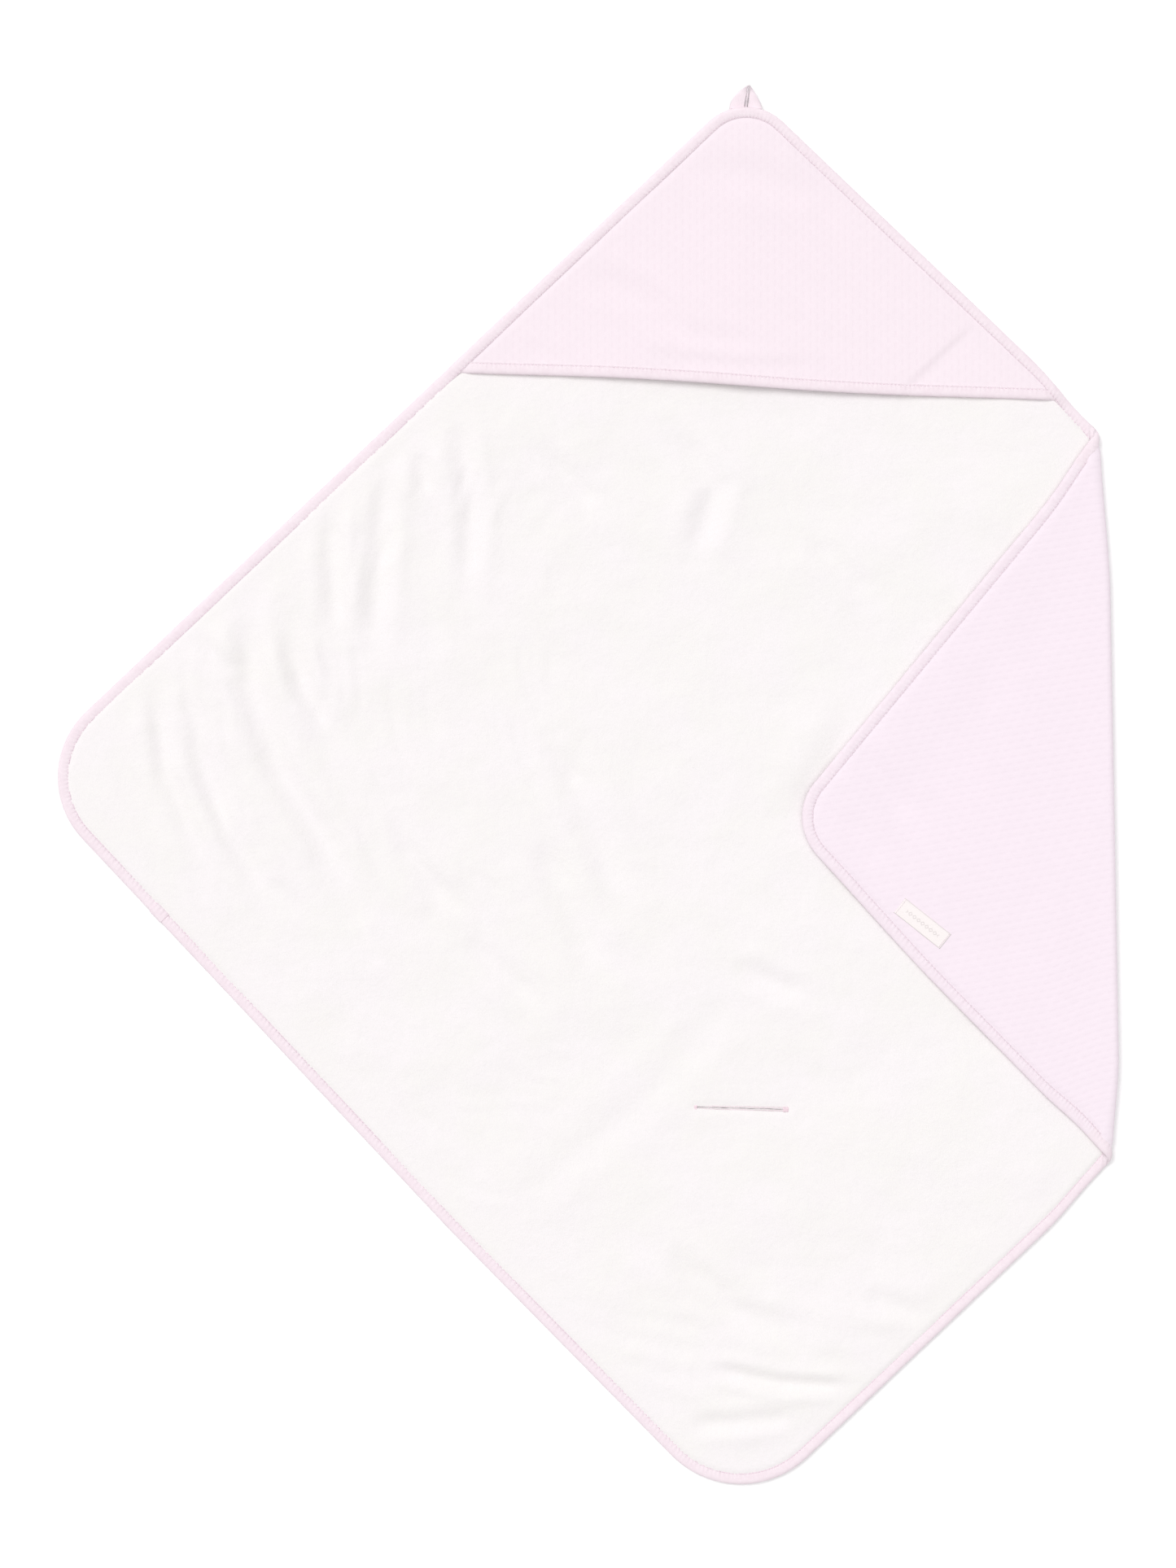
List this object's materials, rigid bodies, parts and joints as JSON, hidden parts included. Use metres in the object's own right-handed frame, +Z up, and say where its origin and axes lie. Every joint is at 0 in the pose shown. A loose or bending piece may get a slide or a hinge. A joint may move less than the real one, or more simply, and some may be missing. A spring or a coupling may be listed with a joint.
{
  "type": "hooded baby towel",
  "caption": "Square hooded baby towel with plush lining, pale pink bound edges, a hood pocket, a harness slot and a hanging loop, laid flat with one corner folded over.",
  "frame": {"origin": "middle of the bounding box, on the floor that the towel lies on", "axes": "+Z up off the floor, +Y towards the hood's tip, +X towards the folded corner's fold line"},
  "size_m": [0.9456, 1.249, 0.0181],
  "materials": {
    "plush_lining": "white short-pile plush",
    "outer_fabric": "pale pink fine jacquard weave",
    "binding_tape": "pale pink smooth woven tape",
    "sewing_thread": "pale pink sewing thread",
    "label_ribbon": "cream woven ribbon"
  },
  "bodies": {
    "towel": {"centre_outer": "outer_fabric", "centre_lining": "plush_lining", "centre_edge_binding": "binding_tape", "centre_edge_stitching": "sewing_thread", "slot_welt": "binding_tape", "slot_stitching": "sewing_thread", "slot_bar_tacks": "sewing_thread"},
    "hood_corner": {"hood_back_outer": "outer_fabric", "hood_back_lining": "plush_lining", "hood_panel_outer": "outer_fabric", "hood_panel_lining": "plush_lining", "hood_hem_binding": "binding_tape", "hood_hem_stitching": "sewing_thread", "hood_edge_binding": "binding_tape", "hood_edge_stitching": "sewing_thread", "hanging_loop_tails": "binding_tape"},
    "left_corner": {"left_edge_lap": "binding_tape", "left_outer": "outer_fabric", "left_lining": "plush_lining", "left_edge_binding": "binding_tape", "left_edge_stitching": "sewing_thread"},
    "foot_corner": {"foot_outer": "outer_fabric", "foot_lining": "plush_lining", "foot_edge_binding": "binding_tape", "foot_edge_stitching": "sewing_thread"},
    "right_corner": {"right_outer": "outer_fabric", "right_lining": "plush_lining", "right_edge_binding": "binding_tape", "right_edge_stitching": "sewing_thread", "woven_label": "label_ribbon", "woven_label_stitching": "sewing_thread"},
    "hanging_loop": {"hanging_loop": "binding_tape"}
  },
  "joints": [
    {"name": "right_corner_fold", "type": "hinge", "parent": "towel", "child": "right_corner", "pos_m": [0.4614, 0.31544, 0.0053], "axis": [-0.018, 0.9998, 0], "range_deg": [0, 180]},
    {"name": "hood_corner_fold", "type": "hinge", "parent": "towel", "child": "hood_corner", "pos_m": [0.14071, 0.32925, 0.0053], "axis": [1, 0, 0], "range_deg": [0, 150]},
    {"name": "left_corner_fold", "type": "hinge", "parent": "towel", "child": "left_corner", "pos_m": [-0.20582, 0.29349, 0.0053], "axis": [0, 1, 0], "range_deg": [0, 180]},
    {"name": "foot_corner_fold", "type": "hinge", "parent": "towel", "child": "foot_corner", "pos_m": [-0.13187, -0.3885, 0.0053], "axis": [-1, 0, 0], "range_deg": [0, 180]},
    {"name": "hanging_loop_swing", "type": "hinge", "parent": "hood_corner", "child": "hanging_loop", "pos_m": [0.14071, 0.60654, 0.00404], "axis": [1, 0, 0], "range_deg": [0, 120]}
  ]
}
